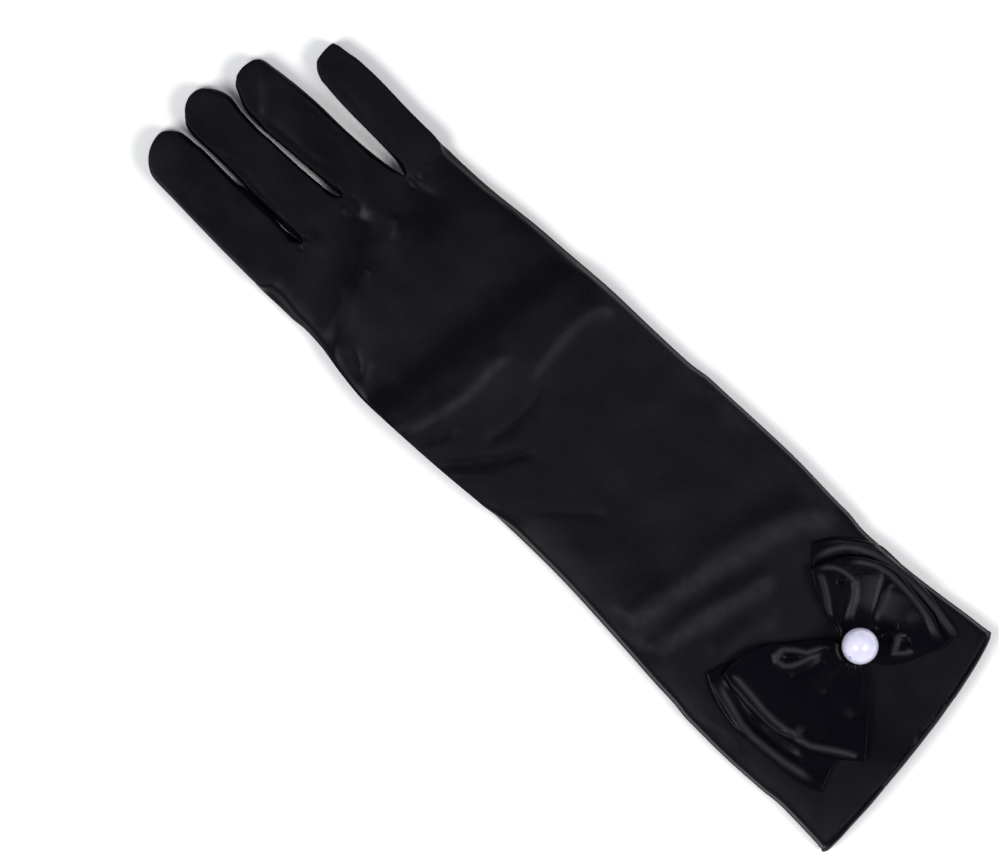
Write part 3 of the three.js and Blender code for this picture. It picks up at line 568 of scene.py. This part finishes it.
def along(points, steps):
    """Points of a smooth curve past a few places, at the given shares of its length."""
    fine_steps = 400
    window = 41  # the fine steps that are averaged into each point
    half = window // 2
    run = np.array(points, float)
    reach = np.concatenate([[0], np.cumsum(np.linalg.norm(np.diff(run, axis=0), axis=1))])
    fine = np.linspace(0, reach[-1], fine_steps)
    curve = np.stack([np.interp(fine, reach, run[:, k]) for k in (0, 1)], axis=1)
    kernel = np.hanning(window) / np.hanning(window).sum()
    before = 2 * curve[:1] - curve[half:0:-1]
    after = 2 * curve[-1:] - curve[-2 : -half - 2 : -1]
    padded = np.concatenate([before, curve, after])
    curve = np.stack([np.convolve(padded[:, k], kernel, mode="valid") for k in (0, 1)], axis=1)
    shares = np.linspace(0, 1, fine_steps)
    return np.stack([np.interp(steps, shares, curve[:, k]) for k in (0, 1)], axis=1)


def sleeve_top(xy):
    """The height of the sleeve's back under places on the sheet, in millimetres."""
    well_above = 0.1  # metres
    past_the_sleeve = 3.0
    tree = BVHTree.FromObject(back, bpy.context.evaluated_depsgraph_get())
    heights = []
    for x, y in (xy - GRID) / 1000:
        hit = tree.ray_cast(Vector((x, y, well_above)), Vector((0, 0, -1)))[0]
        heights.append(hit.z * 1000 if hit else past_the_sleeve)
    return np.array(heights)


def lobe(name, far, top_side, low_side, knot_height, fold_height, lean, under, pleats):
    """One lobe of a loop. far is its folded end from the upper corner to the lower one, top_side and
    low_side its two edges from the knot outwards, and pleats the strokes on its top sheet. Heights are in
    millimetres above the sleeve: knot_height and fold_height those of the top sheet at its two ends, under
    that of what the lobe lies on, and lean how much higher its far end's top side is than the low side."""
    rows = 108  # from the knot to the fold
    columns = 150  # from the top side to the low side
    least_height = 0.9  # of the top sheet over what the lobe lies on
    least_gap = 0.8  # between the two sheets
    low_height = 0.25  # of the low sheet over what the lobe lies on
    thread = 0.25  # between the gathered cloth and the pearl
    pearl_reach = 4.6  # how far round the knot the cloth stands up to the pearl
    pucker = 0.16  # the height of the fine gathers at the knot
    pucker_reach = 6
    side = 0.86  # the share of the height that the two sides keep
    side_width = 0.12  # their share of the width
    crest = 2.2  # how closely the painted highlight keeps to a pleat's crest
    back_step = 3  # the low sheet is hidden, so it has only every third row
    pearl_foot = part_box("pearl")[0][2] * 1000
    u = np.linspace(0, 1, rows)  # 0 at the knot and 1 at the fold
    v = np.linspace(0, 1, columns)  # 0 at the top side and 1 at the low side
    end, top, low = along(far, v), along(top_side, u), along(low_side, u)
    gathered = top[:1] + (low[:1] - top[:1]) * v[:, None]
    U, V = u[:, None, None], v[None, :, None]
    sides = top[:, None] * (1 - V) + low[:, None] * V
    ends = gathered[None] * (1 - U) + end[None] * U
    corners = (1 - U) * gathered[None] + U * (end[0] * (1 - V) + end[-1] * V)
    flat = sides + ends - corners
    xy = flat.reshape(-1, 2)
    ground = sleeve_top(xy).reshape(rows, columns)
    rise = knot_height + (fold_height - knot_height) * ramp(0, 1, u)[:, None] + 0 * v[None]
    rise += lean * (0.5 - v)[None] * ramp(0, 1, u)[:, None]
    spread = np.linalg.norm(xy - KNOT, axis=1).reshape(rows, columns)
    by_the_pearl = np.exp(-((spread / pearl_reach) ** 4)) * (under > 1)  # only for the upper loop
    top_z = rise.copy()
    taut_and_painted_highlight = np.zeros((rows, columns))
    for points, left, right, height, *shine in pleats:
        fade = 0.14 if left + right < 4 else 0.35  # the wide pleats die away sooner
        pleat = stroke(xy, points, left, right, 1.0, fade).reshape(rows, columns)
        top_z += pleat * height
        # a highlight is painted into the colour along each pleat's crest: the table's strength where it
        # gives one, else one from the height
        painted_highlight = shine[0] if shine else min(0.95, 2.2 * height)
        taut_and_painted_highlight = np.maximum(taut_and_painted_highlight, pleat**crest * painted_highlight)
    # five or six gathers of uneven width
    gathers = np.sin(v * 34 + 3 * np.sin(v * 9))[None] * pucker * np.exp(-spread / pucker_reach)
    sag = side + (1 - side) * ramp(0, side_width, v) * ramp(0, side_width, 1 - v)
    top_z = under + least_height + (top_z + gathers - under - least_height) * sag[None]
    top_z += by_the_pearl * np.maximum(pearl_foot - thread - ground - top_z, 0)
    low_z = np.minimum(under + low_height, top_z - least_gap)
    out = end - flat[-2]
    out /= np.linalg.norm(out, axis=1)[:, None]
    strips = []
    for row in range(rows):
        strips.append(np.column_stack([flat[row], top_z[row]]))
    # the turn: how far out each of its strips lies, and at what share of the way up from the lower sheet
    for push, share in ((0.35, 0.80), (0.5, 0.5), (0.35, 0.20)):
        z = low_z[-1] + (top_z[-1] - low_z[-1]) * share
        strips.append(np.column_stack([end + out * push, z]))
    for row in range(rows - 1, -1, -back_step):
        strips.append(np.column_stack([flat[row], low_z[row]]))

    def round_the_fold(sheet):
        return np.concatenate([sheet, sheet[-1:], sheet[-1:], sheet[-1:], sheet[::-back_step]])

    grid = np.array(strips)
    grid[..., 2] += round_the_fold(ground)
    verts = grid.reshape(-1, 3) - np.array([GRID[0], GRID[1], 0])
    faces = []
    for row in range(len(grid) - 1):
        for column in range(columns - 1):
            first = row * columns + column
            below = first + columns
            faces.append((first, first + 1, below + 1, below))
    mesh = bpy.data.meshes.new(name)
    mesh.from_pydata((verts / 1000).tolist(), [], faces)
    ribbon = bpy.data.objects.new(name, mesh)
    brush(ribbon, round_the_fold(taut_and_painted_highlight).ravel())
    bpy.context.collection.objects.link(ribbon)
    activate(ribbon)
    bpy.ops.object.mode_set(mode="EDIT")
    bpy.ops.mesh.select_all(action="SELECT")
    bpy.ops.mesh.normals_make_consistent(inside=False)
    bpy.ops.object.mode_set(mode="OBJECT")
    middle = ribbon.data.polygons[(rows // 2) * (columns - 1) + columns // 2]
    if middle.normal.z < 0:
        ribbon.data.flip_normals()
    cloth = ribbon.modifiers.new("cloth", "SOLIDIFY")
    cloth.thickness = 0.0004  # metres
    cloth.offset = -1
    bpy.ops.object.modifier_apply(modifier=cloth.name)
    bpy.ops.object.shade_smooth()
    return ribbon


def loop(name, node, *lobes):
    """Joins a loop's two lobes into one piece."""
    deselect()
    for ribbon in lobes:
        ribbon.select_set(True)
    bpy.context.view_layer.objects.active = lobes[0]
    bpy.ops.object.join()
    piece = lobes[0]
    piece.name = piece.data.name = name
    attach(piece, "root")
    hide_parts(node)
    return piece


# each lobe: its folded end, its top side, its low side, its heights, and its pleats, each with its run, its
# half widths on the left and the right, its height, and the strength of the highlight painted along it where
# that doesn't follow the height
lower = loop(
    "bow_lower",
    "bow_lower_loop",
    lobe(
        "lower_left",
        [(-12.5, -106), (-15, -110), (-17, -115), (-18.5, -120), (-19.3, -125), (-19, -132), (-18.3, -140),
         (-18, -147), (-17.5, -152), (-16.5, -157), (-15, -160.5)],
        [(25, -129.5), (17, -123), (8, -116), (0, -111.5), (-5, -108.6), (-12.5, -106)],
        [(25, -141), (12, -150), (2, -156), (-3, -157.6), (-8, -158), (-15, -160.5)],
        knot_height=2.4,
        fold_height=2.2,
        lean=0.0,
        under=0.1,
        pleats=(
            # the thin edge of its fold, the round ridge beside it, and the hollow inside that
            ([(-13.1, -107.5), (-15.4, -115), (-16.9, -121), (-18.2, -127), (-18.4, -133)], 0.6, 0.6, 0.18),
            ([(-11, -108.5), (-13.2, -113.6), (-15, -119.5), (-17, -126), (-17.5, -131), (-17.1, -138),
              (-16.5, -145), (-15.4, -151), (-14.2, -158)], 1.5, 1.5, 0.46),
            ([(-9.5, -110), (-12, -118), (-14, -126), (-14.2, -134), (-13.4, -142),
              (-11.6, -150)], 1.8, 1.7, -0.5),
        ),
    ),
    lobe(
        "lower_right",
        [(43.5, -102.5), (50, -107), (55, -114), (58, -120), (58, -126), (57.5, -135), (57, -142),
         (55.5, -149), (54.5, -154), (53.7, -158)],
        [(27, -129), (31, -118), (36, -109), (43.5, -102.5)],
        [(27, -142), (34, -149.5), (42, -155), (47.5, -157), (53.7, -158)],
        knot_height=2.4,
        fold_height=2.0,
        lean=0.0,
        under=0.1,
        pleats=(
            # the same on the other side
            ([(44.4, -103.4), (50, -108.6), (54.6, -115), (57, -121), (57.3, -128), (56.9, -138),
              (56, -148)], 0.6, 0.7, 0.2),
            ([(36, -104.6), (40.8, -106.2), (45.5, -108), (49.2, -110.4), (52.4, -114.4), (54.4, -119),
              (55.7, -124.6), (56, -131), (55.8, -139), (55.1, -147), (53.8, -155.6),
              (52, -163)], 1.3, 1.4, 0.46),
            ([(42, -110.6), (47, -114.4), (50.6, -118.8), (53, -124.6), (53.4, -132), (53, -142),
              (51.4, -152)], 1.3, 1.5, -0.7),
        ),
    ),
)
upper = loop(
    "bow_upper",
    "bow_upper_loop",
    lobe(
        "upper_left",
        [(-8.5, -110), (-10.3, -116), (-11.3, -123), (-11.5, -130), (-10.6, -138), (-9.5, -142), (-8, -147),
         (-6, -152), (-3, -157.5), (2.3, -164)],
        [(24.5, -129), (21, -125.5), (17, -122), (13, -118.8), (9, -114.8), (5, -112), (0, -110.4),
         (-5, -109.4), (-8.5, -110)],
        [(24.5, -142), (22, -147), (17, -151.6), (10, -158), (2.3, -164)],
        knot_height=4.5,
        fold_height=4.6,
        lean=-0.5,
        under=2.6,
        pleats=(
            # the rolled end: two ridges that run together halfway down, then one along to the corner
            ([(-9, -112.5), (-9.9, -119.8), (-10.4, -125.5), (-10.8, -131.4), (-10.4, -136.5),
              (-9.1, -140.4), (-7.2, -144)], 0.7, 0.7, 0.24),
            ([(-7.8, -112), (-8.6, -120), (-9.5, -127), (-9.9, -134), (-8.9, -139.5)], 0.6, 0.6, -0.45),
            ([(-6.4, -110.6), (-7.2, -116.6), (-7.8, -122.4), (-8.6, -127.9), (-8.7, -133.4), (-8.2, -138),
              (-6.8, -142), (-6, -146)], 1.3, 1.3, 0.42),
            ([(-8.4, -141), (-6.6, -147.6), (-4, -151.7), (-1, -156.5), (1.6, -161.4)], 1.4, 1.3, 0.44),
            ([(-7, -139.6), (-5.4, -141.6), (-5.4, -143.4)], 2.0, 2.0, 0.05, 0.5),
            # the teardrop pleat by the pearl, curled over at its end
            ([(23.2, -129.7), (19.5, -127.9), (15.1, -125.4), (13.1, -121.9), (10.4, -118.8), (7.6, -118.4),
              (6.4, -120.2), (6.8, -122.9), (8.4, -124.7), (11.1, -126.1), (14.6, -127.3),
              (19.6, -128.9)], 1.2, 1.2, 0.42),
            ([(8.6, -121), (10, -122.6), (13, -125)], 0.8, 0.8, -0.3),
            ([(18, -131.6), (11, -129.8), (5, -127)], 1.8, 1.4, -0.25),
            # the wide, dim dents of the main sheet
            ([(21, -138), (13, -140), (5, -142)], 2.4, 3.0, -0.14),
            ([(10.6, -147), (9.8, -152)], 2.0, 2.0, 0.09),
            ([(8.6, -137.4), (10.2, -138.6)], 1.0, 1.0, 0.07),
        ),
    ),
    lobe(
        "upper_right",
        [(36.5, -107.5), (42, -110), (47, -113), (51, -118), (54, -124), (55, -130), (53.5, -140),
         (52.5, -148), (50.5, -152), (48, -157.5)],
        [(27.5, -129), (28.6, -124), (30.6, -118), (33, -112.6), (36.5, -107.5)],
        [(27, -142), (29, -146.5), (32, -149.6), (36.5, -152.4), (42, -154.8), (48, -157.5)],
        knot_height=4.5,
        fold_height=5.0,
        lean=1.0,
        under=2.6,
        pleats=(
            # the big curled pleat, and the dark hollow in it
            ([(37.3, -108.6), (40.3, -110.8), (42, -112.8), (43, -115.2), (43.5, -118.2), (43.2, -120.9),
              (41.7, -122.8), (38.8, -124.9), (34.6, -127), (30.6, -128.6)], 1.1, 1.1, 0.38, 0.9),
            ([(40.4, -116.4), (41.2, -118.6)], 1.3, 1.1, -0.7),
            ([(28.3, -124), (30.3, -121.2), (33.2, -117.6), (36.3, -112.6),
              (38, -109.4)], 1.0, 0.9, 0.24, 0.5),
            # a wide pleat with a sharper far edge
            ([(53, -121.5), (50.4, -125.4), (43.4, -129.4), (36.2, -133)], 1.1, 8.0, 0.35, 0.6),
            # the biggest facet, from its bright edge to the low side, both lifted by painted highlights
            ([(37, -136.2), (39.4, -135.2), (44.6, -132.9), (49.8, -130.5),
              (52.4, -130.2)], 1.3, 10.0, 0.5, 0.55),
            ([(37.6, -136), (39.4, -135.2), (44.6, -133), (49.8, -130.7),
              (52.4, -130.4)], 0.7, 0.9, 0.12, 0.75),
            ([(36, -137.4), (39.1, -138.6), (42.6, -141.4)], 0.9, 1.0, -0.5),
            ([(44, -141), (48.6, -143), (52, -143)], 3.6, 3.0, 0.15, 0.35),
            # the little loop below the pearl
            ([(42.6, -145.4), (39.5, -143.9), (36.9, -145.4), (35.2, -147.2), (37.5, -149.6),
              (40.6, -150.2)], 1.1, 1.1, 0.42),
            ([(35.4, -141.4), (38, -142.6)], 1.3, 1.3, -0.9),
            ([(39.4, -146.6), (41.6, -147.4)], 1.0, 1.0, -0.4),
            # its rolled end
            ([(45, -113.6), (49.4, -118), (52, -122.5), (53.2, -128), (53, -134), (52.4, -141),
              (51.1, -147), (48.8, -153), (47, -156)], 1.2, 1.2, 0.42),
        ),
    ),
)
bow_satin = satin(
    "bow_satin",
    shade=(0.0013, 0.0010, 0.0026),
    # the colour of the highlight painted along the bow's pleats, at full strength
    painted_highlight=(0.023, 0.0222, 0.0252),
    gloss=0.26,
    sheen=0.05,
    weave=0.06,
    grain=0.12,
)
bow_satin.wear(lower, upper)


# The pearl: a round bead with a pearly lacquer, and with a hole drilled through it for the thread that sews
# it on the bow's gathered middle.
hole_radius = 0.00072  # metres
hole_slope = 33  # degrees from level
low, high = (Vector(corner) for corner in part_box("pearl"))
centre = (low + high) / 2
radius = (high.z - low.z) / 2
deselect()
bpy.ops.mesh.primitive_uv_sphere_add(segments=96, ring_count=64, radius=radius)
pearl = bpy.context.object
pearl.name = pearl.data.name = "pearl_bead"
bpy.ops.object.mode_set(mode="EDIT")
bpy.ops.mesh.select_mode(type="FACE")
bpy.ops.mesh.select_all(action="DESELECT")
mesh = bmesh.from_edit_mesh(pearl.data)
for face in mesh.faces:
    middle = face.calc_center_median()
    face.select = math.hypot(middle.x, middle.y) < hole_radius
bpy.ops.mesh.delete(type="FACE")
mesh = bmesh.from_edit_mesh(pearl.data)
bpy.ops.mesh.select_mode(type="EDGE")
for edge in mesh.edges:
    edge.select = edge.is_boundary
bmesh.update_edit_mesh(pearl.data)
bpy.ops.mesh.bridge_edge_loops(number_cuts=3)
bpy.ops.mesh.select_all(action="SELECT")
bpy.ops.mesh.normals_make_consistent(inside=False)
bpy.ops.object.mode_set(mode="OBJECT")
pearl.rotation_euler = (0, -math.radians(90 - hole_slope), 0)
pearl.location = centre
bpy.ops.object.transform_apply(location=True, rotation=True, scale=True)
bpy.ops.object.shade_smooth_by_angle(angle=math.radians(35))
nacre = Finish("pearl_lacquer")
place = nacre.node("ShaderNodeTexCoord", output=3)
mist = nacre.node("ShaderNodeTexNoise", {}, {0: place, "Scale": 260, "Detail": 3, "Roughness": 0.5})
colour = nacre.node(
    "ShaderNodeValToRGB",
    {"stops": ((0.3, (0.60, 0.58, 0.76, 1)), (0.7, (0.72, 0.71, 0.86, 1)))},
    {0: mist},
)
skin = nacre.node(
    "ShaderNodeBsdfPrincipled",
    {},
    {
        "Base Color": colour,
        "Roughness": mist * 0.08 + 0.24,
        "IOR": 1.6,
        "Coat Weight": 1.0,
        "Coat Roughness": 0.06,
        "Sheen Weight": 0.25,
        "Sheen Tint": (0.8, 0.78, 1.0, 1),
    },
)
nacre.node("ShaderNodeOutputMaterial", {}, {0: skin})
nacre.wear(pearl)
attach(pearl, "root")
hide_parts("pearl")


# What the glove lies on and what lights it: a wide white table, a bright room, and two round soft lights, on
# the left and on the right as the camera sees them. The camera looks straight down through a long lens.
deselect()
just_below = -0.0003  # metres, as low as the lowest points of the cloth
bpy.ops.mesh.primitive_plane_add(size=6, location=(0, 0, just_below))
table = bpy.context.object
table.name = "table"
white = Finish("table_white")
paint = white.node("ShaderNodeBsdfPrincipled", {}, {"Base Color": (0.92, 0.92, 0.92, 1), "Roughness": 0.9})
white.node("ShaderNodeOutputMaterial", {}, {0: paint})
white.wear(table)

world = bpy.data.worlds.new("studio")
bpy.context.scene.world = world
world.use_nodes = True
world.node_tree.nodes["Background"].inputs["Color"].default_value = (0.9, 0.93, 1.0, 1)
world.node_tree.nodes["Background"].inputs["Strength"].default_value = 0.3
bpy.context.scene.view_settings.view_transform = "Standard"


def softbox(name, place, size, power):
    """A round light that faces the middle of the glove: its place and size in metres, its power in watts."""
    lamp = bpy.data.lights.new(name, "AREA")
    lamp.shape = "DISK"
    lamp.size = size
    lamp.energy = power
    light = bpy.data.objects.new(name, lamp)
    bpy.context.collection.objects.link(light)
    light.location = place
    light.rotation_euler = (-Vector(place)).to_track_quat("-Z", "Y").to_euler()


softbox("softbox_left", (-0.84, 0.31, 1.5), 0.8, 21)
softbox("softbox_right", (0.35, -0.97, 1.42), 0.8, 19)

view_width = 0.333  # metres that the picture shows across, at the height of view_level
view_level = 0.005
camera_data = bpy.data.cameras.new("camera")
camera_data.lens = 300
camera_data.sensor_width = 36
camera = bpy.data.objects.new("camera", camera_data)
bpy.context.collection.objects.link(camera)
camera_height = view_width * camera_data.lens / camera_data.sensor_width + view_level
camera.location = (-GRID[0] / 1000, -GRID[1] / 1000, camera_height)
camera.rotation_euler = (0, 0, math.radians(-47))
bpy.context.scene.camera = camera
